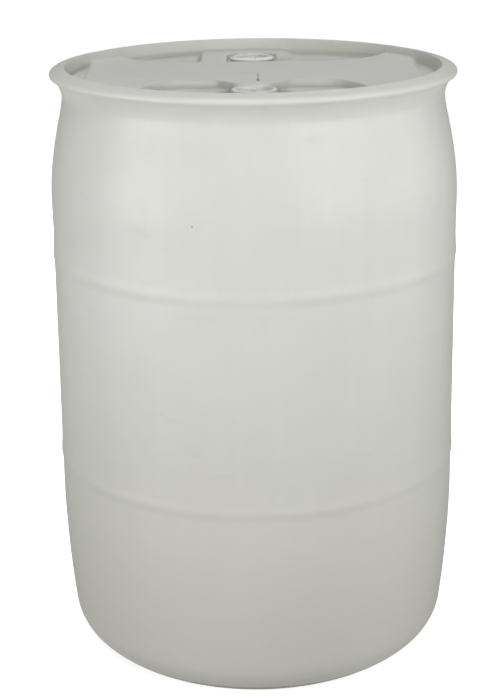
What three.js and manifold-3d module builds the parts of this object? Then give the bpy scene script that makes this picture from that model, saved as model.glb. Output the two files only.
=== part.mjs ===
// A blow-moulded 55 US gallon tight-head plastic drum, with an integral handling ring round a
// recessed head and two screw bungs. Millimetres, +Z up, origin at the centre of the foot.
// The bungs lie on the Y axis: the fine-thread one in front (-Y), the coarse-thread one behind.

import * as THREE from 'three';
import { mergeVertices } from 'three/addons/utils/BufferGeometryUtils.js';
import Module from 'manifold-3d';

const wasm = await Module();
wasm.setup();

// Driving dimensions of the shell.
const HEIGHT = 889;                  // foot to the top of the handling ring, 35 in
const BARREL_RADIUS = 302.3;         // widest plain radius, above the foot curve
const BARREL_TAPER = 2.3;            // radius lost from the foot curve to the shoulder
const WALL = 4;                      // moulded wall thickness
const BODY_SIDES = 60;               // facets round the shell
const FITTING_SIDES = 40;            // facets round the bungs and gaskets
const GAP = 0.3;                     // clearance between pieces that touch

// Heights up the outside.
const FOOT_CURVE_TOP = 60;           // the tight corner ends and the slow swell begins
const BARREL_BOTTOM = 240;
const BARREL_TOP = 700;
const CONE_MIDDLE = 816;             // the shoulder's curve turns from convex to concave
const NECK_HEIGHT = 849;             // narrowest place, under the handling ring
const HOOP_HEIGHTS = [312, 622];
const HOOP_PROUD = 1.7;              // how far a hoop stands out of the barrel

// Radii up the outside.
const FOOT_OUTER_RADIUS = 245;
const FOOT_INNER_RADIUS = 215;
const FOOT_CURVE_RADIUS = 291;
const CONE_RADIUS = 283.8;
const NECK_RADIUS = 278.4;
const UNDER_RING_RADIUS = 286;
const RING_RADIUS = 295.5;
const RING_TOP_RADIUS = 288;
const RING_INNER_RADIUS = 273;

// Control points, as [r, z], of the curves between those places.
const FOOT_BEND = [FOOT_CURVE_RADIUS - 2.5, 22];
const SWELL_BEND = [BARREL_RADIUS - 0.8, 150];
const SHOULDER_BEND = [BARREL_RADIUS - BARREL_TAPER, 750];
const CONE_BEND = [NECK_RADIUS, NECK_HEIGHT - 11];
const UNDER_RING_BEND = [NECK_RADIUS + 2.1, NECK_HEIGHT + 13];

// The base's middle is pushed up inside the foot.
const BASE_RISE = 12;
const PUSH_UP_RADIUS = FOOT_INNER_RADIUS - 22;
const PUSH_UP_EDGE = BASE_RISE - 2;

// The head, as depths below the ring's top.
const PLATEAU_DEPTH = 11;
const POCKET_DEPTH = 21;
const HEAD_RADIUS = RING_INNER_RADIUS - 3;
const PLATEAU_Z = HEIGHT - PLATEAU_DEPTH;
const POCKET_Z = HEIGHT - POCKET_DEPTH;
const POCKET_INNER_Y = 90;           // nearest a bung pocket comes to the middle
// How far across a bung pocket's inner edge runs straight, bends about, and ends at the ring.
const FRONT_CORNER = { straight: 100, bend: 146, end: 163 };
const REAR_CORNER = { straight: 90, bend: 175, end: 205 };
const TONGUE_Y = 121;                // the plateau reaches out to here beside the front bung
const TONGUE_HALF_WIDTH = 18;
const TONGUE_BENDS_X = [33, 40, 48]; // its side runs in an S through these
const SIDE_POCKET_X = 242;           // chord that cuts the plateau off at each side
const SHELF = { left: -80, right: 62, front: POCKET_INNER_Y - 4, well: 44 }; // plateau behind the rear bung

// The bungs.
const BUNG_Y = 160;
const SEAT_Z = HEIGHT - 19;          // gasket seat on top of each neck
const GASKET_THICKNESS = 1.9;
const FLANGE_THICKNESS = 4;
const SKIRT_LENGTH = 17.2;
const NECK_LENGTH = 18;              // neck below its seat
const FLANGE_Z = SEAT_Z + GASKET_THICKNESS + 2 * GAP;
const FINE = { y: -BUNG_Y, skirt: 28.4, bore: 29, flange: 31.8, boss: 34 };
const COARSE = { y: BUNG_Y, skirt: 28.9, bore: 29.5, flange: 35, boss: 37 };
const SKIRT_WALL = 3.6;
const FLOOR_THICKNESS = 3;
const TIP_CHAMFER = [1, 1.5];        // radius and height taken off the skirt's tip
const SOCKET_RADIUS = 24.4;          // wrench recess in a bung
const SOCKET_DEPTH = 14;
const DRIVE_DROP = 4;                // lugs and webs stop this far below the bung's top
const DRIVE_COUNT = 4;
const LUG_REACH = 8.4;               // wrench lugs, from the recess wall inwards
const LUG_WIDTH = 5;
const WEB_WIDTH = 4;                 // webs from the recess wall to the hub

// The small plug in the middle of the coarse bung.
const REDUCER = { skirt: 12.4, bore: 12.9, flange: 16.4, hub: 17.6, skirtLength: 12 };
const REDUCER_SEAT_Z = FLANGE_Z + FLANGE_THICKNESS - 8;
const REDUCER_GASKET_THICKNESS = 1.2;
const REDUCER_FLANGE_THICKNESS = 3;
const HUB_RISE = 3;                  // the hub stops this far above the skirt's tip
const KEY_SIZE = 13;                 // square recess for a key
const KEY_DEPTH = 9;

const shellPlastic = new THREE.MeshStandardMaterial({ color: 0xe2e4dc, roughness: 0.45, metalness: 0 });
const bungPlastic = new THREE.MeshStandardMaterial({ color: 0xeef0ec, roughness: 0.4, metalness: 0 });
const sealRubber = new THREE.MeshStandardMaterial({ color: 0xd0d0c8, roughness: 0.8, metalness: 0 });

// Turn a closed three.js geometry into a manifold solid.
function solid(geometry) {
  const bare = geometry.index ? geometry.toNonIndexed() : geometry;
  bare.deleteAttribute('normal');
  bare.deleteAttribute('uv');
  const merged = mergeVertices(bare, 1e-4);
  const index = merged.index.array;
  const triangles = [];
  for (let i = 0; i < index.length; i += 3) {
    const [a, b, c] = [index[i], index[i + 1], index[i + 2]];
    if (a !== b && b !== c && c !== a) triangles.push(a, b, c);
  }
  const mesh = new wasm.Mesh({
    numProp: 3,
    vertProperties: new Float32Array(merged.attributes.position.array),
    triVerts: new Uint32Array(triangles),
  });
  return new wasm.Manifold(mesh);
}

// Turn a manifold solid back into a named three.js mesh.
function named(name, body, material) {
  const mesh = body.getMesh();
  const geometry = new THREE.BufferGeometry();
  geometry.setAttribute('position', new THREE.BufferAttribute(mesh.vertProperties, 3));
  geometry.setIndex(new THREE.BufferAttribute(mesh.triVerts, 1));
  geometry.computeVertexNormals();
  const result = new THREE.Mesh(geometry, material);
  result.name = name;
  return result;
}

// Revolve an [r, z] profile that runs anticlockwise in the r-z plane about a vertical axis.
function turned(profile, sides, y = 0) {
  const points = profile.map(([r, z]) => new THREE.Vector2(r, z));
  const geometry = new THREE.LatheGeometry(points, sides);
  geometry.rotateX(Math.PI / 2);
  geometry.translate(0, y, 0);
  return solid(geometry);
}

// A plain ring or disc between two radii and two heights.
function ring(inner, outer, bottom, top, sides, y = 0) {
  const profile = [[inner, bottom], [outer, bottom], [outer, top], [inner, top]];
  if (inner > 0) profile.push([inner, bottom]);
  return turned(profile, sides, y);
}

// Raise a flat outline into a prism between two heights.
function prism(shape, bottom, top) {
  const options = { depth: top - bottom, bevelEnabled: false, curveSegments: 10 };
  const geometry = new THREE.ExtrudeGeometry(shape, options);
  geometry.translate(0, 0, bottom);
  return solid(geometry);
}

// Points of a quadratic curve, leaving out its first.
function bend(from, control, to, steps) {
  const v = ([r, z]) => new THREE.Vector2(r, z);
  const curve = new THREE.QuadraticBezierCurve(v(from), v(control), v(to));
  return curve.getPoints(steps).slice(1).map((p) => [p.x, p.y]);
}

function barrelRadius(z) {
  return BARREL_RADIUS - BARREL_TAPER * (z - BARREL_BOTTOM) / (BARREL_TOP - BARREL_BOTTOM);
}

// A hoop rises steeply on its lower flank and fades out above.
function hoop(z) {
  const proud = [[-14, 0], [-4, 0.9], [4, 1], [20, 0]];
  return proud.map(([rise, share]) => [barrelRadius(z + rise) + HOOP_PROUD * share, z + rise]);
}

// The barrel from the foot to the cone, drawn in by inset for the inside of the wall.
function barrelSide(inset) {
  const foot = [FOOT_OUTER_RADIUS, 0];
  const curveEnd = [FOOT_CURVE_RADIUS, FOOT_CURVE_TOP];
  const side = [foot];
  side.push(...bend(foot, FOOT_BEND, curveEnd, 5));
  side.push(...bend(curveEnd, SWELL_BEND, [BARREL_RADIUS, BARREL_BOTTOM], 3));
  if (inset === 0) HOOP_HEIGHTS.forEach((z) => side.push(...hoop(z)));
  const barrelEnd = [barrelRadius(BARREL_TOP), BARREL_TOP];
  side.push(barrelEnd);
  side.push(...bend(barrelEnd, SHOULDER_BEND, [CONE_RADIUS, CONE_MIDDLE], 4));
  const lift = (z) => inset * Math.max(0, 1 - z / FOOT_CURVE_TOP);
  return side.map(([r, z]) => [r - inset, z + lift(z)]);
}

// The outside without its recess: base, barrel, neck and handling ring.
function outerBlock() {
  const neck = [NECK_RADIUS, NECK_HEIGHT];
  const underRing = [UNDER_RING_RADIUS, HEIGHT - 19.5];
  const profile = [
    [0, BASE_RISE],
    [PUSH_UP_RADIUS, PUSH_UP_EDGE],
    [FOOT_INNER_RADIUS, 0],
    ...barrelSide(0),
    ...bend([CONE_RADIUS, CONE_MIDDLE], CONE_BEND, neck, 3),
    ...bend(neck, UNDER_RING_BEND, underRing, 3),
    [RING_RADIUS - 2.5, HEIGHT - 13],
    [RING_RADIUS, HEIGHT - 9.5],
    [RING_RADIUS - 1.4, HEIGHT - 5],
    [RING_RADIUS - 4, HEIGHT - 1.5],
    [RING_TOP_RADIUS, HEIGHT],
    [0, HEIGHT],
  ];
  return turned(profile, BODY_SIDES);
}

// The dish inside the ring, down to the plateau.
function headDish() {
  const profile = [
    [0, PLATEAU_Z],
    [HEAD_RADIUS + 1, PLATEAU_Z],
    [RING_INNER_RADIUS - 1, HEIGHT - 2],
    [RING_INNER_RADIUS + 2, HEIGHT + 1],
    [0, HEIGHT + 1],
  ];
  return turned(profile, BODY_SIDES);
}

// Outline of the low pocket round the front bung. Its inner edge steps out to tongueY in the
// middle; grow widens the outline for the inside of the wall.
function bungPocketShape(grow, stepY, corner) {
  const radius = HEAD_RADIUS + grow;
  const endX = corner.end + grow;
  const endY = Math.sqrt(radius * radius - endX * endX);
  const innerY = POCKET_INNER_Y - grow;
  const tongueY = stepY - grow;
  const tongueX = TONGUE_HALF_WIDTH - grow;
  const endAngle = Math.atan2(-endY, endX);
  const middleY = (innerY + tongueY) / 2;
  const [outerBend, middle, innerBend] = TONGUE_BENDS_X;
  const shape = new THREE.Shape();
  shape.moveTo(endX, -endY);
  shape.quadraticCurveTo(corner.bend, -innerY, corner.straight, -innerY);
  shape.quadraticCurveTo(innerBend, -innerY, middle, -middleY);
  shape.quadraticCurveTo(outerBend, -tongueY, tongueX, -tongueY);
  shape.lineTo(-tongueX, -tongueY);
  shape.quadraticCurveTo(-outerBend, -tongueY, -middle, -middleY);
  shape.quadraticCurveTo(-innerBend, -innerY, -corner.straight, -innerY);
  shape.quadraticCurveTo(-corner.bend, -innerY, -endX, -endY);
  shape.absarc(0, 0, radius, Math.PI - endAngle, 2 * Math.PI + endAngle, false);
  return shape;
}

// Outline of the narrow pocket cut off by a chord at the right side.
function sidePocketShape(grow) {
  const radius = HEAD_RADIUS + grow;
  const angle = Math.acos((SIDE_POCKET_X - grow) / radius);
  const shape = new THREE.Shape();
  shape.absarc(0, 0, radius, -angle, angle, false);
  return shape;
}

// All four pockets as blocks; the rear and left ones are turned round from the front and right.
function pockets(grow, bottom, top) {
  const front = prism(bungPocketShape(grow, TONGUE_Y, FRONT_CORNER), bottom, top);
  const rear = prism(bungPocketShape(grow, POCKET_INNER_Y, REAR_CORNER), bottom, top).rotate([0, 0, 180]);
  const right = prism(sidePocketShape(grow), bottom, top);
  return front.add(rear).add(right).add(right.rotate([0, 0, 180]));
}

// The hollow inside the shell, following the head's levels.
function cavity() {
  const profile = [
    [0, BASE_RISE + WALL],
    [PUSH_UP_RADIUS, PUSH_UP_EDGE + WALL],
    [FOOT_INNER_RADIUS, WALL + 1],
    [FOOT_OUTER_RADIUS - WALL, WALL + 1],
    ...barrelSide(WALL).filter(([, z]) => z > WALL + 6),
    [NECK_RADIUS - WALL, NECK_HEIGHT - 9],
    [HEAD_RADIUS - WALL, POCKET_Z - WALL],
    [HEAD_RADIUS - WALL - 6, PLATEAU_Z - WALL],
    [0, PLATEAU_Z - WALL],
  ];
  const lowered = pockets(WALL, POCKET_Z - WALL, HEIGHT);
  return turned(profile, BODY_SIDES).subtract(lowered);
}

// Where the plateau runs on to the ring, left of the rear bung and behind it, round the bung's well.
function shelf() {
  const radius = HEAD_RADIUS + 1;
  const shape = new THREE.Shape();
  shape.moveTo(SHELF.left, SHELF.front);
  shape.lineTo(-SHELF.well, SHELF.front);
  shape.lineTo(-SHELF.well, COARSE.y);
  shape.absarc(0, COARSE.y, SHELF.well, Math.PI, 0, true);
  shape.absarc(0, 0, radius, Math.acos(SHELF.right / radius), Math.acos(SHELF.left / radius), false);
  return prism(shape, POCKET_Z - WALL / 2, PLATEAU_Z);
}

// One threaded neck: a seat on the head and a sleeve below it, ready to be bored.
function neck(bung) {
  const bossBottom = POCKET_Z - WALL;
  const boss = ring(0, bung.boss, bossBottom, SEAT_Z, FITTING_SIDES, bung.y);
  const sleeve = ring(0, bung.bore + WALL, SEAT_Z - NECK_LENGTH, SEAT_Z - 1, FITTING_SIDES, bung.y);
  return boss.add(sleeve);
}

function neckBore(bung) {
  return ring(0, bung.bore, SEAT_Z - NECK_LENGTH - 5, SEAT_Z + 5, FITTING_SIDES, bung.y);
}

function drumBody() {
  let body = outerBlock().subtract(headDish()).subtract(pockets(0, POCKET_Z, HEIGHT));
  body = body.subtract(cavity()).add(shelf());
  [FINE, COARSE].forEach((bung) => {
    body = body.add(neck(bung)).subtract(neckBore(bung));
  });
  return named('drum_body', body, shellPlastic);
}

// Bars that a wrench pushes on, spaced evenly in a bung's recess from one radius to another.
function driveBars(bung, inner, width, firstAngle) {
  const top = FLANGE_Z + FLANGE_THICKNESS - DRIVE_DROP;
  const bottom = FLANGE_Z + FLANGE_THICKNESS - SOCKET_DEPTH - 1;
  const outer = SOCKET_RADIUS + 1;
  const bars = [];
  for (let i = 0; i < DRIVE_COUNT; i += 1) {
    const bar = new THREE.BoxGeometry(outer - inner, width, top - bottom);
    bar.translate((outer + inner) / 2, 0, (top + bottom) / 2);
    bar.rotateZ(firstAngle + 2 * Math.PI * i / DRIVE_COUNT);
    bar.translate(0, bung.y, 0);
    bars.push(solid(bar));
  }
  return bars.reduce((all, bar) => all.add(bar));
}

// The outside of a bung's cup, from inside its skirt round to the edge of its recess.
function cupOutside(bung, edge) {
  const top = FLANGE_Z + FLANGE_THICKNESS;
  const underFloor = top - SOCKET_DEPTH - FLOOR_THICKNESS;
  const tip = FLANGE_Z - SKIRT_LENGTH;
  return [
    [bung.skirt - SKIRT_WALL, underFloor],
    [bung.skirt - SKIRT_WALL, tip],
    [bung.skirt - TIP_CHAMFER[0], tip],
    [bung.skirt, tip + TIP_CHAMFER[1]],
    [bung.skirt, FLANGE_Z],
    [bung.flange, FLANGE_Z],
    [bung.flange, top - edge],
    [bung.flange - edge, top],
    [SOCKET_RADIUS, top],
    [SOCKET_RADIUS, top - SOCKET_DEPTH],
  ];
}

// The fine-thread bung: a flanged cup with its floor half way down the skirt.
function fineBung() {
  const floor = FLANGE_Z + FLANGE_THICKNESS - SOCKET_DEPTH;
  const profile = [[0, floor - FLOOR_THICKNESS], ...cupOutside(FINE, 1), [0, floor]];
  const lugs = driveBars(FINE, SOCKET_RADIUS - LUG_REACH, LUG_WIDTH, 0);
  return named('fine_thread_bung', turned(profile, FITTING_SIDES, FINE.y).add(lugs), bungPlastic);
}

// The coarse-thread bung: the same cup, with a bored hub in its middle for the small plug.
function coarseBung() {
  const floor = FLANGE_Z + FLANGE_THICKNESS - SOCKET_DEPTH;
  const hubBottom = FLANGE_Z - SKIRT_LENGTH + HUB_RISE;
  const profile = [
    [REDUCER.bore, hubBottom],
    [REDUCER.hub, hubBottom],
    [REDUCER.hub, floor - FLOOR_THICKNESS],
    ...cupOutside(COARSE, 1.4),
    [REDUCER.hub, floor],
    [REDUCER.hub, REDUCER_SEAT_Z],
    [REDUCER.bore, REDUCER_SEAT_Z],
    [REDUCER.bore, hubBottom],
  ];
  const webs = driveBars(COARSE, REDUCER.hub - 1, WEB_WIDTH, Math.PI / 4);
  const webSpace = ring(0, REDUCER.flange + 1, REDUCER_SEAT_Z, HEIGHT, FITTING_SIDES, COARSE.y);
  const body = turned(profile, FITTING_SIDES, COARSE.y).add(webs.subtract(webSpace));
  return named('coarse_thread_bung', body, bungPlastic);
}

// The small plug that closes the hub, with a square recess for a key.
function reducerPlug() {
  const bottom = REDUCER_SEAT_Z + REDUCER_GASKET_THICKNESS + 2 * GAP;
  const top = bottom + REDUCER_FLANGE_THICKNESS;
  const tip = bottom - REDUCER.skirtLength;
  const profile = [
    [0, tip],
    [REDUCER.skirt - 1, tip],
    [REDUCER.skirt, tip + 1],
    [REDUCER.skirt, bottom],
    [REDUCER.flange, bottom],
    [REDUCER.flange, top - 0.8],
    [REDUCER.flange - 0.8, top],
    [0, top],
  ];
  const key = new THREE.BoxGeometry(KEY_SIZE, KEY_SIZE, KEY_DEPTH + 2);
  key.translate(0, COARSE.y, top + 1 - KEY_DEPTH / 2);
  const body = turned(profile, FITTING_SIDES, COARSE.y).subtract(solid(key));
  return named('reducer_plug', body, bungPlastic);
}

function gasket(name, inner, outer, seat, thickness, y) {
  const body = ring(inner, outer, seat + GAP, seat + GAP + thickness, FITTING_SIDES, y);
  return named(name, body, sealRubber);
}

const group = new THREE.Group();
group.add(drumBody());
group.add(fineBung());
group.add(coarseBung());
group.add(reducerPlug());
group.add(gasket('fine_bung_gasket', FINE.bore, FINE.flange - 0.4, SEAT_Z, GASKET_THICKNESS, FINE.y));
group.add(gasket('coarse_bung_gasket', COARSE.bore, COARSE.flange - 1, SEAT_Z, GASKET_THICKNESS, COARSE.y));
group.add(gasket('reducer_gasket', REDUCER.bore, REDUCER.flange - 0.4, REDUCER_SEAT_Z,
  REDUCER_GASKET_THICKNESS, COARSE.y));

export default group;
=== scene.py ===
"""Looks for a closed-head plastic drum: milky blown polyethylene, two screw bungs and their seals."""

import math

import bpy
import numpy as np
from mathutils import Matrix, Vector


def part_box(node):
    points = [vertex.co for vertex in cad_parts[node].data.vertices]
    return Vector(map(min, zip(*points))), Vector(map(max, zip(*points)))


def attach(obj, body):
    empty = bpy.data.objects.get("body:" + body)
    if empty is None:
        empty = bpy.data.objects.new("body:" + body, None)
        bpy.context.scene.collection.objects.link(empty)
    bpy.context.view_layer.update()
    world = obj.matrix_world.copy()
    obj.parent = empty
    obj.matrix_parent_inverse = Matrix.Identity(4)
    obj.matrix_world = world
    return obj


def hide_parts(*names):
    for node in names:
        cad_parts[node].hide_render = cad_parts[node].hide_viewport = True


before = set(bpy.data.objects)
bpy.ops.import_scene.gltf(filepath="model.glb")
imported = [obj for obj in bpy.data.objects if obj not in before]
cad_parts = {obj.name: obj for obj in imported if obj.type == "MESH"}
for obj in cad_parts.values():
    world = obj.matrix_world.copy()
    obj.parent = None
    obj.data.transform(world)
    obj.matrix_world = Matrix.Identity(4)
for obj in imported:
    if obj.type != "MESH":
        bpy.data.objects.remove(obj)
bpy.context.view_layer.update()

# ---------------------------------------------------------------- sizes, in millimetres
# The shell and the fittings keep the places of the CAD solids; their surfaces are finer here, and
# have the threads, fillets, slopes and parting line that the solids leave out.
MM = 0.001
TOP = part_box("drum_body")[1].z / MM

WALL = 4.0
BARREL_RADIUS, BARREL_TAPER = 302.3, 2.3
BARREL_BOTTOM, BARREL_TOP = 240.0, 700.0
HOOP_PEAKS = [308.0, 618.0]
HOOP_PROUD = 1.6
FOOT_OUTER, FOOT_INNER = 245.0, 215.0
BASE_RISE = 12.0

# Places up the outside, as (radius, height), and the control points of the curves between them.
FOOT_BEND = (288.5, 22.0)
CORNER_TOP = (291.0, 60.0)
SWELL_BEND = (301.5, 150.0)
SHOULDER_BEND_HEIGHT = 750.0
CONE = (283.8, 816.0)
NECK = (278.4, 849.0)
NECK_BEND = (280.5, 863.0)
UNDER_RING = (287.0, TOP - 18)
RING_OUTER, RING_INNER = 295.5, 273.0
HEAD_RADIUS = RING_INNER - 3
PLATEAU = TOP - 11
POCKET = TOP - 21
POCKET_INNER_Y = 90.0
FRONT_CORNER = (100.0, 146.0, 163.0)        # how far across the edge runs straight, bends, and ends
REAR_CORNER = (90.0, 175.0, 205.0)
TONGUE_Y = 121.0                            # the plateau's tongue towards the front bung
SIDE_POCKET_X = 242.0
SHELF_LEFT, SHELF_RIGHT = -86.0, 62.0       # where the plateau runs on behind the rear bung
WELL_RADIUS = 37.0                          # the round well it leaves for that bung
SUMP_RADIUS, SUMP_DEPTH = 66.0, 5.0         # the front pocket's deeper middle, round its bung

SEAM_WIDTH, SEAM_PROUD = 1.8, 0.05          # the mould's parting line

SHELL_COLUMNS = 384
FITTING_COLUMNS = 144

BUNG_Y = 160.0
SEAT = TOP - 19
GASKET = 2.5
FLANGE = 4.0
SKIRT = 17.2
NECK_LENGTH = 18.0
SOCKET_RADIUS = 24.4                        # the recess for a wrench in a bung's middle
SOCKET_DEPTH = 14.0
LUG_RADIUS = 16.0                           # how far in the fine bung's lugs reach
THREAD_GAP = 0.3
SEAL_CLEARANCE = 0.03
INCH = 25.4

REDUCER_SEAT = SEAT + GASKET + FLANGE - 8
REDUCER_GASKET = 1.8
REDUCER_FLANGE = 3.0
REDUCER_SKIRT = 12.0


class Thread:
    """A right-hand helical thread: the radius at an angle and a height."""

    def __init__(self, root, depth, pitch, buttress=False):
        self.root, self.depth, self.pitch, self.buttress = root, depth, pitch, buttress

    def height(self, angle, z):
        """How far the thread stands from its root, 0 to 1."""
        turn = np.mod(z / self.pitch - angle / (2 * math.pi), 1.0)
        if self.buttress:
            rise = np.clip((turn - 0.15) / 0.5, 0, 1)
            fall = np.clip((0.95 - turn) / 0.12, 0, 1)
            return np.minimum(rise, fall)
        return np.clip((1 - np.abs(2 * turn - 1)) * 1.3 - 0.15, 0, 1)

    def male(self, angle, z, low, high):
        """Outside thread, running out to the root at both ends."""
        run = run_in(z, low, high, 0.6 * self.pitch)
        return self.root + self.depth * self.height(angle, z) * run

    def female(self, angle, z, low, high):
        """Inside thread that the male one turns in, opening out at both ends."""
        run = run_in(z, low, high, 0.6 * self.pitch)
        cut = 1 - run * (1 - self.height(angle, z))
        return self.root + THREAD_GAP + self.depth * cut


FINE = {"thread": Thread(27.6, 1.1, INCH / 11.5), "y": -BUNG_Y,
        "flange": 31.8, "boss": 34.0, "bore": 29.0}
COARSE = {"thread": Thread(27.3, 1.6, INCH / 5, buttress=True), "y": BUNG_Y,
          "flange": 35.0, "boss": 37.0, "bore": 29.5}
SMALL = {"thread": Thread(11.6, 0.9, INCH / 14), "y": BUNG_Y,
         "flange": 16.4, "hub": 17.6, "bore": 12.9}


# ---------------------------------------------------------------- small tools for shapes
def ramp(value, low, high):
    """Smooth step from 0 at low to 1 at high."""
    t = np.clip((value - low) / (high - low), 0, 1)
    return t * t * (3 - 2 * t)


def thread_step(thread):
    """Height from one row of a thread to the next, closer where a buttress is steep."""
    return thread.pitch / (16 if thread.buttress else 9)


def run_in(z, low, high, length):
    """1 between low and high, falling to 0 over this length at both ends."""
    return ramp(z, low, low + length) * (1 - ramp(z, high - length, high))


def bend(start, control, end, steps):
    """Points of a quadratic curve, leaving out its first."""
    a, b, c = (np.array(p, float) for p in (start, control, end))
    ts = np.arange(1, steps + 1) / steps
    return [tuple(a * (1 - t) ** 2 + b * 2 * t * (1 - t) + c * t * t) for t in ts]


def rounded(corners, steps=5):
    """An [r, z, fillet radius] outline with its corners rounded."""
    points = []
    count = len(corners)
    for i, (r, z, fillet) in enumerate(corners):
        here = np.array([r, z])
        if fillet == 0 or i in (0, count - 1):
            points.append((r, z))
            continue
        back = np.array(corners[i - 1][:2]) - here
        on = np.array(corners[i + 1][:2]) - here
        reach = min(fillet, 0.49 * np.linalg.norm(back), 0.49 * np.linalg.norm(on))
        start = here + back / np.linalg.norm(back) * reach
        end = here + on / np.linalg.norm(on) * reach
        points.append(tuple(start))
        points.extend(bend(start, here, end, steps))
    return points


def subdivided(points, longest):
    """The same outline with no stretch longer than this."""
    result = [points[0]]
    for a, b in zip(points, points[1:]):
        length = math.dist(a, b)
        parts = max(1, math.ceil(length / longest))
        for k in range(1, parts + 1):
            result.append((a[0] + (b[0] - a[0]) * k / parts, a[1] + (b[1] - a[1]) * k / parts))
    return result


def revolve(rows, columns, centre_y=0.0, closed=False):
    """Vertices and faces of a surface turned about a vertical axis.

    A row is (r, z) or a function of the angle array that gives both arrays; columns is a count, or the
    angles themselves. The first and last rows close on the axis when their radius is 0; a closed loop
    joins its last row to its first instead.
    """
    angle = np.arange(columns) * 2 * math.pi / columns if isinstance(columns, int) else columns
    columns = len(angle)
    vertices, rings = [], []
    for row in rows:
        r, z = row(angle) if callable(row) else row
        r = np.broadcast_to(np.asarray(r, float), angle.shape)
        z = np.broadcast_to(np.asarray(z, float), angle.shape)
        first = len(vertices)
        if r.max() < 1e-9:
            vertices.append((0.0, centre_y, float(z[0])))
            rings.append([first] * columns)
            continue
        x, y = r * np.cos(angle), r * np.sin(angle) + centre_y
        vertices.extend(zip(x.tolist(), y.tolist(), z.tolist()))
        rings.append(list(range(first, first + columns)))
    pairs = list(zip(rings, rings[1:]))
    if closed:
        pairs.append((rings[-1], rings[0]))
    faces = []
    for low, high in pairs:
        for k in range(columns):
            n = (k + 1) % columns
            quad = [low[k], low[n], high[n], high[k]]
            face = [v for i, v in enumerate(quad) if v != quad[i - 1]]
            if len(face) > 2:
                faces.append(face)
    return np.array(vertices) * MM, faces


def make_object(name, vertices, faces):
    """A new object in the scene, smooth apart from its sharp edges."""
    mesh = bpy.data.meshes.new(name)
    mesh.from_pydata([tuple(v) for v in vertices], [], faces)
    mesh.validate()
    smooth(mesh)
    obj = bpy.data.objects.new(name, mesh)
    bpy.context.scene.collection.objects.link(obj)
    return obj


def smooth(mesh):
    """Smooth shading that still breaks at edges sharper than 35 degrees."""
    mesh.shade_smooth()
    mesh.set_sharp_from_angle(angle=math.radians(35))


def cut(obj, cutters):
    """Take the cutters away from obj for good, and remove them."""
    for cutter in cutters:
        modifier = obj.modifiers.new("cut", "BOOLEAN")
        modifier.operation = "DIFFERENCE"
        modifier.solver = "EXACT"
        modifier.object = cutter
    graph = bpy.context.evaluated_depsgraph_get()
    mesh = bpy.data.meshes.new_from_object(obj.evaluated_get(graph))
    obj.modifiers.clear()
    obj.data = mesh
    for cutter in cutters:
        bpy.data.objects.remove(cutter)


def dress(obj, body, slot, material, *nodes):
    """Give a piece its material, and say what it rides on and what it stands for; slot is not used."""
    obj.data.materials.clear()
    obj.data.materials.append(material)
    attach(obj, body)
    if nodes:
        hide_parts(*nodes)


# ---------------------------------------------------------------- the head's relief
def pocket_edge(x, corner, tongue=0.0):
    """Distance from the middle to a bung pocket's inner edge; a tongue may jut into it.

    The edge is straight, then follows a quadratic curve out to the ring: a corner gives where it
    leaves the straight, where it bends about, and where it ends.
    """
    straight, middle, end = corner
    a, b = straight - 2 * middle + end, 2 * (middle - straight)
    along = np.clip(np.abs(x) - straight, 0, end - straight)
    t = (np.sqrt(b * b + 4 * a * along) - b) / (2 * a) + np.maximum(np.abs(x) - end, 0) / 20
    edge = POCKET_INNER_Y + (math.sqrt(HEAD_RADIUS**2 - end**2) - POCKET_INNER_Y) * t * t
    return edge + tongue * (1 - ramp(np.abs(x), 20, 56))


def shelf_share(x, y):
    """1 where the plateau runs on to the ring, left of the rear bung and behind it."""
    off_bung = np.hypot(x, np.maximum(y - BUNG_Y, 0))
    beside = ramp(x, SHELF_LEFT, SHELF_LEFT + 9) * (1 - ramp(x, SHELF_RIGHT - 16, SHELF_RIGHT + 12))
    fall = 1 - 0.5 * ramp(y, 150, 250)
    beside = beside * fall * np.where(x < 0, 1, ramp(y, 160, 176))
    return beside * ramp(off_bung, WELL_RADIUS - 1, WELL_RADIUS + 3)


def head_height(x, y, sump_reach=0.0):
    """Height of the head's top surface, before it curves up into the ring."""
    front = ramp(-y - pocket_edge(x, FRONT_CORNER, TONGUE_Y - POCKET_INNER_Y), -2, 7)
    rear = ramp(y - pocket_edge(x, REAR_CORNER), -2, 7) * (1 - shelf_share(x, y))
    side = ramp(np.abs(x), SIDE_POCKET_X - 2, SIDE_POCKET_X + 5)
    low = np.maximum(np.maximum(front, rear), side)
    off_front_bung = np.hypot(x, y + BUNG_Y) - sump_reach
    sump = SUMP_DEPTH * front * (1 - ramp(off_front_bung, SUMP_RADIUS - 10, SUMP_RADIUS))
    crown = 0.5 * (x * x + y * y) / HEAD_RADIUS**2
    return PLATEAU - crown - (PLATEAU - POCKET) * low - sump


def head_row(radius, drop=0.0):
    """A row across the head; the hollow's own rows lie lower by drop."""
    def row(angle):
        x, y = radius * np.cos(angle), radius * np.sin(angle)
        return radius, head_height(x, y, 2 * drop) - drop
    return row


def ring_wall_row(share):
    """A row between the head's edge and the ring's top; share is 0 at the head and 1 at the top."""
    fillet = 4.0

    def row(angle):
        x, y = (HEAD_RADIUS - fillet) * np.cos(angle), (HEAD_RADIUS - fillet) * np.sin(angle)
        start = head_height(x, y)
        if share < 0.4:
            turn = share / 0.4 * math.pi / 2
            return HEAD_RADIUS - fillet * (1 - math.sin(turn)), start + fillet * (1 - math.cos(turn))
        climb = (share - 0.4) / 0.6
        foot = start + fillet
        return HEAD_RADIUS + 2.7 * climb, foot + (TOP - 2.0 - foot) * climb
    return row


# ---------------------------------------------------------------- the shell
def barrel_radius(z):
    """The plain barrel's radius at a height, a little less towards the top."""
    return BARREL_RADIUS - BARREL_TAPER * (z - BARREL_BOTTOM) / (BARREL_TOP - BARREL_BOTTOM)


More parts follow.
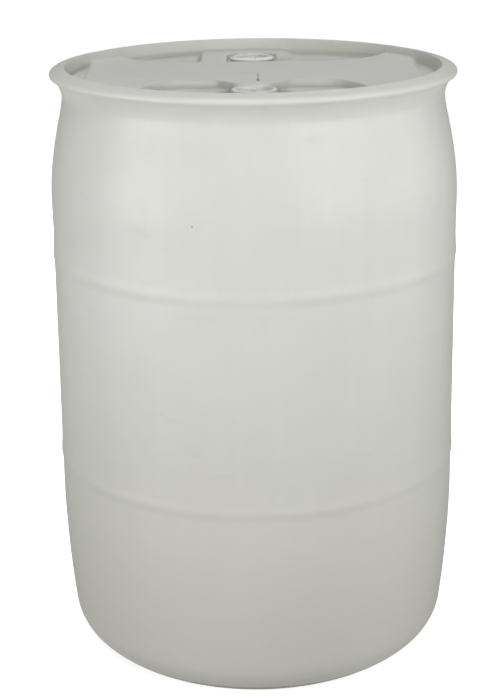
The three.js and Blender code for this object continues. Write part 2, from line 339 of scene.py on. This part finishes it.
def hoop_profile(z):
    """A hoop rises on a short lower flank, and falls back over a longer upper one."""
    proud = 0.0
    for peak in HOOP_PEAKS:
        rise = ramp(z - peak, -15, -1)
        fall = 0.6 * (1 - ramp(z - peak, -1, 13)) + 0.4 * (1 - ramp(z - peak, 2, 38))
        proud = proud + HOOP_PROUD * rise * fall
    return proud


def barrel_side(inset=0.0, steps=1.0):
    """The outside from the foot to the cone; inset and coarser for the inside."""
    def count(n):
        return max(3, int(n * steps))

    side = bend((FOOT_OUTER, 0.0), FOOT_BEND, CORNER_TOP, count(22))
    side += bend(CORNER_TOP, SWELL_BEND, (BARREL_RADIUS, BARREL_BOTTOM), count(20))
    spacing = 1.6 if inset == 0 else 40
    heights = np.arange(BARREL_BOTTOM + spacing, BARREL_TOP - spacing / 2, spacing)
    by_hoop = [min(abs(z - peak) for peak in HOOP_PEAKS) < 42 for z in heights]
    kept = [z for i, z in enumerate(heights) if by_hoop[i] or i % 8 == 0 or inset]
    side += [(barrel_radius(z) + (0 if inset else hoop_profile(z)), z) for z in kept]
    end = (barrel_radius(BARREL_TOP), BARREL_TOP)
    side.append(end)
    side += bend(end, (end[0], SHOULDER_BEND_HEIGHT), CONE, count(26))
    return [(r - inset, z + inset * max(0.0, 1 - z / CORNER_TOP[1])) for r, z in side]


def outside_rows():
    """The outside, from the middle of the base over the ring to the middle of the head."""
    base = rounded([(0, BASE_RISE, 0), (FOOT_INNER - 24, BASE_RISE - 1.5, 14), (FOOT_INNER, 0, 7),
                    (FOOT_OUTER - 1, 0, 6), (FOOT_OUTER, 0, 0)], 6)
    rows = subdivided(base, 14)
    rows += barrel_side()
    rows += bend(CONE, (NECK[0], NECK[1] - 11), NECK, 12)
    rows += bend(NECK, NECK_BEND, UNDER_RING, 10)
    rim = rounded([(*UNDER_RING, 0), (RING_OUTER - 0.8, TOP - 12.6, 3), (RING_OUTER, TOP - 8.6, 2.5),
                   (RING_OUTER - 2.6, TOP - 5.2, 1.6), (RING_OUTER - 6.5, TOP - 3.0, 3),
                   (RING_INNER + 0.9, TOP, 1.2), (RING_INNER, TOP - 1.2, 0)], 6)
    rows += rim[1:]
    rows += [ring_wall_row(s) for s in np.linspace(1, 0, 16)]
    radii = np.concatenate([np.arange(HEAD_RADIUS - 6, 60, -2.0), np.arange(58, 4, -6)])
    rows += [head_row(r) for r in radii]
    return rows + [(0.0, PLATEAU)]


def inside_rows():
    """The hollow, from the middle of the base up to the middle of the head."""
    rows = [(0.0, BASE_RISE + WALL), (100.0, BASE_RISE + WALL), (FOOT_INNER - 24, BASE_RISE + WALL - 2),
            (FOOT_INNER, WALL + 1), (FOOT_OUTER - WALL, WALL + 1)]
    rows += [p for p in barrel_side(WALL, 0.4) if p[1] > WALL + 6]
    rows += [(NECK[0] - WALL, NECK[1] - 9), (HEAD_RADIUS - WALL, POCKET - WALL)]
    radii = np.arange(HEAD_RADIUS - WALL - 6, 20, -5)
    rows += [head_row(r, WALL) for r in radii]
    return rows + [(0.0, PLATEAU - WALL)]


def shell_angles():
    """Evenly spread columns, with a few more beside the mould's parting line, front and back."""
    even = np.arange(SHELL_COLUMNS) * 2 * math.pi / SHELL_COLUMNS
    beside = np.array([-1, -0.5, -0.25, 0.25, 0.5, 1]) * SEAM_WIDTH / BARREL_RADIUS
    return np.sort(np.concatenate([even, math.pi / 2 + beside, 3 * math.pi / 2 + beside]))


def seamed(vertices):
    """Raise the mould's parting line up the barrel, front and back, and across the plateau."""
    x, y, z = (vertices / MM).T
    r = np.hypot(x, y)
    line = SEAM_PROUD * (1 - ramp(np.abs(x), 0.2, SEAM_WIDTH / 2))
    barrel = line * ramp(z, 3, 30) * (1 - ramp(z, TOP - 16, TOP - 10)) * (r > HEAD_RADIUS)
    head = line * (z > POCKET) * (r < HEAD_RADIUS)
    return np.stack([x, y * (1 + barrel / BARREL_RADIUS), z + head], 1) * MM


# How far, how many times round, and from what angle and with what twist the shell is out of round.
WAVES = [(0.22, 3, 0.9, 1 / 260), (0.14, 7, 0.0, 1 / 95), (0.10, 11, 2.0, -1 / 61)]


def unevenness(vertices):
    """Slight lack of roundness that a cooled blown shell has, nil at the ring and the foot."""
    x, y, z = (vertices / MM).T
    angle = np.arctan2(y, x)
    share = ramp(z, 60, 200) * (1 - ramp(z, 760, 850)) * ramp(np.hypot(x, y), 200, 280)
    wave = sum(far * np.sin(lobes * angle + start + twist * z) for far, lobes, start, twist in WAVES)
    scale = 1 + np.minimum(share * (wave - 0.35), 0) / BARREL_RADIUS
    return np.stack([x * scale, y * scale, z], 1) * MM


def make_shell(material):
    """The blown shell, hollow, with a round hole in the head for each neck."""
    vertices, faces = revolve(outside_rows(), shell_angles())
    inner, inner_faces = revolve(inside_rows(), SHELL_COLUMNS // 2)
    flipped = [[v + len(vertices) for v in reversed(face)] for face in inner_faces]
    shell = make_object("shell", unevenness(np.vstack([seamed(vertices), inner])), faces + flipped)
    cutters = []
    for bung in (FINE, COARSE):
        bore = bung["bore"] + 1.6
        rod = [(0, SEAT - 40), (bore, SEAT - 40), (bore, SEAT + 30), (0, SEAT + 30)]
        cutters.append(make_object("cutter", *revolve(rod, 96, bung["y"])))
    cut(shell, cutters)
    smooth(shell.data)
    dress(shell, "drum", "shell", material, "drum_body")


def make_neck(name, bung, material):
    """A threaded neck: its seat stands on the head and its sleeve hangs inside."""
    boss, mouth, sleeve = bung["boss"], bung["bore"] + 0.4, bung["bore"] + WALL
    bottom = SEAT - NECK_LENGTH
    foot = POCKET - (SUMP_DEPTH if bung is FINE else 0)
    body = rounded([(mouth, SEAT - 0.7, 0), (mouth, SEAT, 0.6), (boss, SEAT, 0.9), (boss, foot, 0.8),
                    (boss + 2.6, foot - 0.5, 0.5), (boss + 1, foot - 3, 0.5), (sleeve, foot - 3, 0.5),
                    (sleeve, bottom, 0.9), (mouth, bottom, 0.5), (mouth, bottom + 0.8, 0)], 4)
    rows = body + female_rows(bung["thread"], bottom + 1, SEAT - 1.2)
    neck = make_object(name, *revolve(rows[::-1], FITTING_COLUMNS, bung["y"], closed=True))
    dress(neck, "drum", "shell", material)


# ---------------------------------------------------------------- bungs and seals
def male_rows(thread, low, high):
    """Rows of an outside thread from low to high."""
    def row(z):
        return lambda angle: (thread.male(angle, z, low, high), z)
    return [row(z) for z in np.arange(low, high, thread_step(thread))]


def female_rows(thread, low, high):
    """Rows of an inside thread from low to high."""
    def row(z):
        return lambda angle: (thread.female(angle, z, low, high), z)
    return [row(z) for z in np.arange(low, high, thread_step(thread))]


def lug_rows(lug_top, floor):
    """Rows down the recess wall that step inwards at four wrench lugs."""
    def row(share, z):
        def made(angle):
            turn = np.abs(np.mod(angle + math.pi / 4, math.pi / 2) - math.pi / 4)
            lug = 1 - ramp(np.degrees(turn), 6.2, 8.6)
            return SOCKET_RADIUS - (SOCKET_RADIUS - LUG_RADIUS) * lug * share, z
        return made

    over_the_top = [row(0, lug_top), row(0.03, lug_top - 0.05), row(0.5, lug_top - 0.1),
                    row(0.93, lug_top - 0.2), row(1, lug_top - 0.8)]
    return over_the_top + [row(1, floor + 4), row(1, floor + 0.8), row(0.95, floor)]


def web_bars(centre_y, inner, outer, low, high):
    """Four round-topped webs between a bung's hub and its wall, for a wrench to push on."""
    width, count = 4.0, 4
    arc = np.linspace(0, math.pi, 9)
    section = [(-width / 2, low), (width / 2, low)]
    section += [(width / 2 * math.cos(t), high - width / 2 + width / 2 * math.sin(t)) for t in arc]
    vertices, faces = [], []
    for k in range(count):
        turn = (k + 0.5) * 2 * math.pi / count
        c, s = math.cos(turn), math.sin(turn)
        first = len(vertices)
        for r in (inner, outer):
            vertices.extend((r * c - across * s, r * s + across * c + centre_y, z) for across, z in section)
        sides = len(section)
        near = [first + i for i in range(sides)]
        far = [v + sides for v in near]
        faces.extend([near[i - 1], far[i - 1], far[i], near[i]] for i in range(sides))
        faces.append(near)
        faces.append(far[::-1])
    return np.array(vertices) * MM, faces


# Both bungs sit on their gaskets at the same heights.
UNDER_FLANGE = SEAT + GASKET
FLANGE_TOP = UNDER_FLANGE + FLANGE
SOCKET_FLOOR = FLANGE_TOP - SOCKET_DEPTH
BUNG_TIP = UNDER_FLANGE - SKIRT


def bung_thread_rows(thread):
    """The outside of a bung's skirt, from just above its tip to just under its flange."""
    return male_rows(thread, BUNG_TIP + 1.2, UNDER_FLANGE - 0.8)


def make_fine_bung(material):
    """The front bung: a cup with a flat flange, and four lugs inside for a wrench."""
    thread, flange = FINE["thread"], FINE["flange"]
    top, floor, tip = FLANGE_TOP, SOCKET_FLOOR, BUNG_TIP
    rows = [(0, floor - 3), (18, floor - 3)]
    rows += rounded([(22, floor - 3, 0), (24.4, floor - 3, 1.5), (24.4, tip, 0.6),
                     (thread.root - 0.6, tip, 0.8), (thread.root, tip + 1.2, 0)], 4)
    rows += bung_thread_rows(thread)
    rows += rounded([(thread.root, UNDER_FLANGE - 0.8, 0), (thread.root, UNDER_FLANGE, 0.5),
                     (flange, UNDER_FLANGE, 0.6), (flange, top - 1.2, 0.6), (flange - 2, top, 1.0),
                     (SOCKET_RADIUS + 1.6, top, 0.7), (SOCKET_RADIUS, top - 1.6, 0.6),
                     (SOCKET_RADIUS, top - 3.8, 0)], 4)
    rows += lug_rows(top - 4, floor)
    rows += [(15.2, floor), (9, floor), (8.4, floor + 0.35), (7.6, floor + 0.35), (7, floor), (0, floor)]
    obj = make_object("fine_bung_cup", *revolve(rows, FITTING_COLUMNS, FINE["y"]))
    dress(obj, "fine_bung", "bung", material, "fine_thread_bung")


def make_coarse_bung(material):
    """The rear bung: a cup with a sloping flange, four webs, and a threaded hub for the reducer."""
    thread, flange = COARSE["thread"], COARSE["flange"]
    hub, bore = SMALL["hub"], SMALL["bore"]
    top, floor, tip = FLANGE_TOP, SOCKET_FLOOR, BUNG_TIP
    hub_low, hub_high = tip + 3, REDUCER_SEAT
    rows = rounded([(bore, hub_low, 0), (hub, hub_low, 0.8), (hub, floor - 3, 0.6),
                    (thread.root - 2.9, floor - 3, 1.5), (thread.root - 2.9, tip, 0.6),
                    (thread.root - 0.6, tip, 0.8), (thread.root, tip + 1.2, 0)], 4)
    rows += bung_thread_rows(thread)
    rows += rounded([(thread.root, UNDER_FLANGE - 0.8, 0), (thread.root, UNDER_FLANGE, 0.5),
                     (flange, UNDER_FLANGE, 0.8), (flange, top - 2.2, 0.9),
                     (SOCKET_RADIUS + 2, top, 2.0), (SOCKET_RADIUS, top - 1.6, 0.6),
                     (SOCKET_RADIUS, floor, 1.2), (hub + 0.4, floor, 1.0), (hub, hub_high, 0.7),
                     (bore, hub_high, 0.5), (bore, hub_high - 0.8, 0)], 4)
    rows += female_rows(SMALL["thread"], hub_low + 0.4, hub_high - 0.9)[::-1]
    cup, cup_faces = revolve(rows, FITTING_COLUMNS, COARSE["y"], closed=True)
    webs, web_faces = web_bars(COARSE["y"], hub - 0.6, SOCKET_RADIUS + 0.8, floor - 0.5, top - 4)
    web_faces = [[v + len(cup) for v in face] for face in web_faces]
    obj = make_object("coarse_bung_cup", np.vstack([cup, webs]), cup_faces + web_faces)
    dress(obj, "coarse_bung", "bung", material, "coarse_thread_bung")


def square_row(half, z, corner=6.0):
    """A rounded square as a row of the turned surface."""
    def row(angle):
        c, s = np.abs(np.cos(angle)), np.abs(np.sin(angle))
        return half / (c**corner + s**corner) ** (1 / corner), z
    return row


def make_reducer(material):
    """The small plug in the rear bung's hub, with a square hole for a wrench."""
    thread = SMALL["thread"]
    under = REDUCER_SEAT + REDUCER_GASKET
    top, tip = under + REDUCER_FLANGE, under - REDUCER_SKIRT
    rows = [(0, tip), (6, tip)]
    rows += rounded([(9, tip, 0), (thread.root - 0.5, tip, 0.5), (thread.root, tip + 0.8, 0)], 3)
    rows += male_rows(thread, tip + 0.8, under - 0.5)
    rows += rounded([(thread.root, under - 0.5, 0), (thread.root, under, 0.4),
                     (SMALL["flange"], under, 0.5), (SMALL["flange"], top, 0.9), (10.4, top, 0)], 4)
    rows += [square_row(7.4, top, 4), square_row(6.9, top - 0.15), square_row(6.5, top - 0.6)]
    rows += [square_row(6.45, top - 8), square_row(6.2, top - 8.7), square_row(5.6, top - 9), (0, top - 9)]
    obj = make_object("reducer_cap", *revolve(rows, FITTING_COLUMNS, SMALL["y"]))
    dress(obj, "reducer", "bung", material, "reducer_plug")


# Each seal's name, body, CAD node, inner and outer radius, seat, thickness and place.
SEALS = [
    ("fine_seal_ring", "fine_seal", "fine_bung_gasket", 29.2, 31.3, SEAT, GASKET, -BUNG_Y),
    ("coarse_seal_ring", "coarse_seal", "coarse_bung_gasket", 29.6, 34.2, SEAT, GASKET, BUNG_Y),
    ("reducer_seal_ring", "reducer_seal", "reducer_gasket", 12.8, 16.0,
     REDUCER_SEAT, REDUCER_GASKET, BUNG_Y),
]


def make_seal(name, body, node, inner, outer, seat, thick, y, material):
    """A flat rubber ring, squeezed so that its rims bulge a little."""
    bulge = thick * 0.16
    seat, thick = seat + SEAL_CLEARANCE, thick - 2 * SEAL_CLEARANCE
    loop = []
    for r, side in ((outer, 1), (inner, -1)):
        for t in np.linspace(-math.pi / 2, math.pi / 2, 9) * side:
            across = r - side * bulge * (1 - math.cos(t))
            loop.append((across, seat + thick / 2 * (1 + math.sin(t))))
    obj = make_object(name, *revolve(subdivided(loop, 2), FITTING_COLUMNS, y, closed=True))
    dress(obj, body, "seal", material, node)


# ---------------------------------------------------------------- materials
# The plastics' and the rubber's two shades, the colours of what lies on the shell, and the painted shade
# low on the barrel and in the head's pockets.
MILKY = (0.745, 0.752, 0.700), (0.790, 0.797, 0.750)
WHITE = (0.90, 0.91, 0.88), (0.94, 0.95, 0.93)
RUBBER = (0.55, 0.55, 0.52), (0.68, 0.68, 0.65)
DIE_LINE = (0.815, 0.820, 0.780)
SCUFF = (0.64, 0.635, 0.60)
SPECK = (0.14, 0.13, 0.12)
LOW_PAINTED_SHADE = (0.66, 0.65, 0.59)
POCKET_PAINTED_SHADE = (0.60, 0.585, 0.525)
SUMP_PAINTED_SHADE = (0.38, 0.37, 0.33)
DARK_TICK = (0.10, 0.095, 0.085)


class Nodes:
    """A material's node tree, built a node at a time."""

    def __init__(self, name):
        self.material = bpy.data.materials.new(name)
        self.material.use_nodes = True
        self.tree = self.material.node_tree
        self.tree.nodes.clear()
        output = self.add("ShaderNodeOutputMaterial")
        self.shader = self.add("ShaderNodeBsdfPrincipled")
        self.link(self.shader.outputs["BSDF"], output.inputs["Surface"])
        self.place = self.add("ShaderNodeTexCoord").outputs["Object"]

    def add(self, kind, **values):
        """A new node; a value is one of its properties, or else the value of an input."""
        node = self.tree.nodes.new(kind)
        for key, value in values.items():
            if hasattr(node, key):
                setattr(node, key, value)
            else:
                node.inputs[key.replace("_", " ").title()].default_value = value
        return node

    def link(self, source, target):
        self.tree.links.new(source, target)

    def stretched(self, x, y, z):
        """The object's own coordinates, scaled along each axis."""
        mapping = self.add("ShaderNodeMapping")
        mapping.inputs["Scale"].default_value = (x, y, z)
        self.link(self.place, mapping.inputs["Vector"])
        return mapping.outputs["Vector"]

    def noise(self, vector, scale, detail=3.0, roughness=0.5):
        node = self.add("ShaderNodeTexNoise", scale=scale, detail=detail, roughness=roughness)
        self.link(vector, node.inputs["Vector"])
        return node.outputs["Fac"]

    def shaped(self, source, low, high, to_low=0.0, to_high=1.0):
        """A smooth step of the source, from to_low at low to to_high at high."""
        node = self.add("ShaderNodeMapRange", interpolation_type="SMOOTHSTEP")
        for key, value in (("From Min", low), ("From Max", high), ("To Min", to_low), ("To Max", to_high)):
            node.inputs[key].default_value = value
        self.link(source, node.inputs["Value"])
        return node.outputs["Result"]

    def maths(self, operation, a, b):
        node = self.add("ShaderNodeMath", operation=operation)
        for socket, value in zip(node.inputs, (a, b)):
            if isinstance(value, (int, float)):
                socket.default_value = value
            else:
                self.link(value, socket)
        return node.outputs[0]

    def mixed(self, factor, a, b):
        """Colour a where the factor is 0, and b where it is 1."""
        node = self.add("ShaderNodeMix", data_type="RGBA")
        for key, value in ((6, a), (7, b)):
            if isinstance(value, tuple):
                node.inputs[key].default_value = (*value, 1)
            else:
                self.link(value, node.inputs[key])
        self.link(factor, node.inputs[0])
        return node.outputs[2]

    def bumped(self, height, distance, strength=1.0, under=None):
        node = self.add("ShaderNodeBump")
        node.inputs["Strength"].default_value = strength
        node.inputs["Distance"].default_value = distance
        self.link(height, node.inputs["Height"])
        if under is not None:
            self.link(under, node.inputs["Normal"])
        return node.outputs["Normal"]


def stroke(nodes, centre, half, soft):
    """1 inside an upright box round a place on the shell, in metres, fading over its soft edges."""
    split = nodes.add("ShaderNodeSeparateXYZ")
    nodes.link(nodes.place, split.inputs["Vector"])
    share = None
    for axis, middle, reach, fade in zip("XYZ", centre, half, soft):
        off = nodes.maths("ABSOLUTE", nodes.maths("SUBTRACT", split.outputs[axis], middle), 0.0)
        inside = nodes.shaped(off, reach + fade, reach)
        share = inside if share is None else nodes.maths("MULTIPLY", share, inside)
    return share


def pocket_painted_shade(nodes):
    """Painted shade in the head's pockets, darkest in the sump round the front neck."""
    split = nodes.add("ShaderNodeSeparateXYZ")
    nodes.link(nodes.place, split.inputs["Vector"])
    x, y, z = split.outputs
    squared = nodes.maths("ADD", nodes.maths("MULTIPLY", x, x), nodes.maths("MULTIPLY", y, y))
    inside = nodes.shaped(squared, (RING_INNER * MM) ** 2, (HEAD_RADIUS * MM) ** 2)
    floor = nodes.shaped(z, (PLATEAU - 3) * MM, (POCKET + 1) * MM, 0.0, 0.55)
    sump = nodes.shaped(z, (POCKET - 1) * MM, (POCKET - 4.5) * MM, 0.0, 0.85)
    return [(nodes.maths("MULTIPLY", inside, floor), POCKET_PAINTED_SHADE),
            (nodes.maths("MULTIPLY", inside, sump), SUMP_PAINTED_SHADE)]


# The dark tick painted on the plateau behind the front bung, in metres: a tail and a
# broader foot, each as its middle, how far it reaches and how far it fades.
MARK_HEIGHT = 0.878
DARK_TICKS = [((0.0066, -0.060, MARK_HEIGHT), (0.0002, 0.020, 0.002), (0.0012, 0.012, 0.001)),
               ((0.0060, -0.094, MARK_HEIGHT), (0.0014, 0.006, 0.002), (0.0016, 0.008, 0.001))]


def shell_material():
    """Natural blown polyethylene: milky, satin, with die lines, mottling, handling scuffs and painted
    shade.
    """
    nodes = Nodes("milky_polyethylene")
    shader, place = nodes.shader, nodes.place
    cloud = nodes.noise(place, 3.2, 4.0, 0.55)
    streak = nodes.noise(nodes.stretched(34, 34, 1.3), 1.0, 3.0, 0.5)
    scuff_field = nodes.noise(nodes.stretched(9, 9, 30), 1.0, 6.0, 0.7)
    low_down = stroke(nodes, (0, 0, 0), (1, 1, 0), (1, 1, 0.62))
    scuff_mask = nodes.maths("ADD", scuff_field, nodes.maths("MULTIPLY", low_down, 0.09))
    scuffs = nodes.shaped(scuff_mask, 0.60, 0.74)
    specks = nodes.add("ShaderNodeTexVoronoi", scale=17.0)
    nodes.link(place, specks.inputs["Vector"])
    dots = nodes.shaped(specks.outputs["Distance"], 0.030, 0.012)
    pick = nodes.shaped(nodes.noise(place, 41.0, 0.0), 0.60, 0.66)
    dots = nodes.maths("MULTIPLY", dots, pick)
    colour = nodes.mixed(nodes.shaped(cloud, 0.3, 0.7), *MILKY)
    colour = nodes.mixed(nodes.shaped(streak, 0.35, 0.8, 0.0, 0.35), colour, DIE_LINE)
    colour = nodes.mixed(nodes.maths("MULTIPLY", scuffs, 0.20), colour, SCUFF)
    colour = nodes.mixed(nodes.maths("MULTIPLY", dots, 0.6), colour, SPECK)
    # Painted shade: the shell's colour darkens towards its foot.
    colour = nodes.mixed(nodes.maths("MULTIPLY", low_down, 0.9), colour, LOW_PAINTED_SHADE)
    # Painted shade in the head's pockets, darkest in the sump round the front neck.
    for share, tint in pocket_painted_shade(nodes):
        colour = nodes.mixed(share, colour, tint)
    for middle, half, soft in DARK_TICKS:
        mark = nodes.maths("MULTIPLY", stroke(nodes, middle, half, soft), 0.75)
        colour = nodes.mixed(mark, colour, DARK_TICK)
    nodes.link(colour, shader.inputs["Base Color"])
    rough = nodes.shaped(nodes.noise(place, 60.0, 3.0), 0.3, 0.7, 0.46, 0.54)
    rough = nodes.maths("ADD", rough, nodes.maths("MULTIPLY", scuffs, 0.14))
    nodes.link(rough, shader.inputs["Roughness"])
    shader.inputs["IOR"].default_value = 1.52
    shader.inputs["Subsurface Weight"].default_value = 0.22
    shader.inputs["Subsurface Radius"].default_value = (1.0, 0.96, 0.85)
    shader.inputs["Subsurface Scale"].default_value = 0.006
    grain = nodes.bumped(nodes.noise(place, 900.0, 2.0), 0.00005, 0.5)
    peel = nodes.bumped(nodes.noise(place, 95.0, 2.0), 0.0004, 0.25, grain)
    lines = nodes.bumped(streak, 0.0016, 0.35, peel)
    nodes.link(nodes.bumped(scuffs, 0.0002, 0.5, lines), shader.inputs["Normal"])
    return nodes.material


def bung_material():
    """White moulded plastic, a little smoother and brighter than the shell."""
    nodes = Nodes("white_moulded_plastic")
    shader, place = nodes.shader, nodes.place
    cloud = nodes.noise(place, 40.0, 3.0)
    colour = nodes.mixed(nodes.shaped(cloud, 0.3, 0.7), *WHITE)
    nodes.link(colour, shader.inputs["Base Color"])
    rough = nodes.shaped(nodes.noise(place, 220.0, 2.0), 0.3, 0.7, 0.32, 0.42)
    nodes.link(rough, shader.inputs["Roughness"])
    shader.inputs["Subsurface Weight"].default_value = 0.15
    shader.inputs["Subsurface Radius"].default_value = (1.0, 0.97, 0.9)
    shader.inputs["Subsurface Scale"].default_value = 0.003
    nodes.link(nodes.bumped(nodes.noise(place, 1500.0, 2.0), 0.00003, 0.4), shader.inputs["Normal"])
    return nodes.material


def seal_material():
    """Pale soft rubber with a matte, slightly dusty face."""
    nodes = Nodes("pale_rubber")
    shader, place = nodes.shader, nodes.place
    dust = nodes.noise(place, 180.0, 4.0)
    colour = nodes.mixed(nodes.shaped(dust, 0.35, 0.7), *RUBBER)
    nodes.link(colour, shader.inputs["Base Color"])
    nodes.link(nodes.shaped(dust, 0.3, 0.7, 0.68, 0.85), shader.inputs["Roughness"])
    nodes.link(nodes.bumped(nodes.noise(place, 1200.0, 2.0), 0.00004, 0.5), shader.inputs["Normal"])
    return nodes.material


# ---------------------------------------------------------------- camera, light and floor
CAMERA_PLACE = (-0.0209, -2.3290, 1.2204)
CAMERA_TILT = 18.33                 # degrees below the horizon
CAMERA_TURN = 0.296                 # degrees to the right of +Y
CAMERA_ROLL = -0.629
CAMERA_LENS = 81.94

DRUM_MIDDLE = (0, 0, 0.5)

# Name, place, width and height in metres, and power in watts: broad lamps, all aimed at the drum.
SOFTBOXES = [
    ("left_softbox", (-2.28, -1.25, 0.74), 1.1, 0.55, 29),
    ("right_softbox", (1.53, -2.10, 1.00), 1.1, 0.6, 28),
    ("far_right_softbox", (2.60, 0.0, 0.70), 1.1, 0.6, 10),
    ("front_softbox", (0.0, -2.0, 3.0), 2.0, 1.2, 33),
    ("back_softbox", (0.0, 2.4, 2.4), 2.2, 1.2, 20),
    ("rear_softbox", (0.0, 2.9, 0.4), 1.0, 0.6, 42),
    ("top_softbox", (0.0, -0.01, 3.0), 2.0, 2.0, 8),
]


def make_camera():
    """The scene's camera, in front of the drum and a little above its head."""
    data = bpy.data.cameras.new("camera")
    data.sensor_width = 36
    data.lens = CAMERA_LENS
    data.clip_start, data.clip_end = 0.05, 200
    camera = bpy.data.objects.new("camera", data)
    turn = Matrix.Rotation(math.radians(-CAMERA_TURN), 4, "Z")
    tilt = Matrix.Rotation(math.radians(90 - CAMERA_TILT), 4, "X")
    roll = Matrix.Rotation(math.radians(CAMERA_ROLL), 4, "Z")
    camera.matrix_world = Matrix.Translation(CAMERA_PLACE) @ turn @ tilt @ roll
    bpy.context.scene.collection.objects.link(camera)
    bpy.context.scene.camera = camera


def add_light(name, kind, place, aim, power):
    """A light at a place, turned to shine towards its aim."""
    data = bpy.data.lights.new(name, kind)
    data.energy = power
    light = bpy.data.objects.new(name, data)
    way = Vector(aim) - Vector(place)
    light.matrix_world = Matrix.Translation(place) @ way.to_track_quat("-Z", "Y").to_matrix().to_4x4()
    bpy.context.scene.collection.objects.link(light)
    return light


def softbox(name, place, width, height, power):
    """A flat rectangular lamp that faces the drum."""
    light = add_light(name, "AREA", place, DRUM_MIDDLE, power)
    light.data.shape = "RECTANGLE"
    light.data.size, light.data.size_y = width, height


def make_world():
    """White to look at; as a light, only what a pale floor throws back up."""
    world = bpy.data.worlds.new("studio")
    world.use_nodes = True
    tree = world.node_tree
    background = tree.nodes["Background"]
    way = tree.nodes.new("ShaderNodeTexCoord")
    split = tree.nodes.new("ShaderNodeSeparateXYZ")
    from_below = tree.nodes.new("ShaderNodeMapRange")
    path = tree.nodes.new("ShaderNodeLightPath")
    strength = tree.nodes.new("ShaderNodeMix")
    for key, value in (("From Min", -1.0), ("From Max", -0.14), ("To Min", 0.72), ("To Max", 0.0)):
        from_below.inputs[key].default_value = value
    strength.inputs["B"].default_value = 1.0
    tree.links.new(way.outputs["Generated"], split.inputs["Vector"])
    tree.links.new(split.outputs["Z"], from_below.inputs["Value"])
    tree.links.new(from_below.outputs["Result"], strength.inputs["A"])
    tree.links.new(path.outputs["Is Camera Ray"], strength.inputs["Factor"])
    tree.links.new(strength.outputs["Result"], background.inputs["Strength"])
    background.inputs["Color"].default_value = (1, 1, 1, 1)
    bpy.context.scene.world = world


def make_floor():
    """A wide pale sweep, lit by a sun of its own, that sends no light back to the drum."""
    half = 60.0
    corners = [(-half, -half, 0), (half, -half, 0), (half, half, 0), (-half, half, 0)]
    floor = make_object("floor", corners, [[0, 1, 2, 3]])
    nodes = Nodes("studio_floor")
    nodes.shader.inputs["Base Color"].default_value = (0.86, 0.86, 0.86, 1)
    nodes.shader.inputs["Roughness"].default_value = 0.9
    nodes.shader.inputs["Emission Color"].default_value = (1, 1, 1, 1)
    nodes.shader.inputs["Emission Strength"].default_value = 0.68
    floor.data.materials.append(nodes.material)
    floor.visible_diffuse = False
    floor.visible_glossy = False
    floor.visible_shadow = False
    sun = add_light("floor_sun", "SUN", (0, 0, 4), (0, 0, 0), 1.3)
    sun.data.angle = math.radians(70)
    lit = bpy.data.collections.new("lit_by_floor_sun")
    lit.objects.link(floor)
    sun.light_linking.receiver_collection = lit


def make_stage():
    """The camera, the lights and the floor, shown without a film look."""
    bpy.context.scene.view_settings.view_transform = "Standard"
    make_camera()
    make_world()
    make_floor()
    for lamp in SOFTBOXES:
        softbox(*lamp)


# ---------------------------------------------------------------- the whole scene
make_stage()
plastic = shell_material()
white = bung_material()
rubber = seal_material()
make_shell(plastic)
make_neck("front_neck", FINE, plastic)
make_neck("rear_neck", COARSE, plastic)
make_fine_bung(white)
make_coarse_bung(white)
make_reducer(white)
for seal in SEALS:
    make_seal(*seal, rubber)
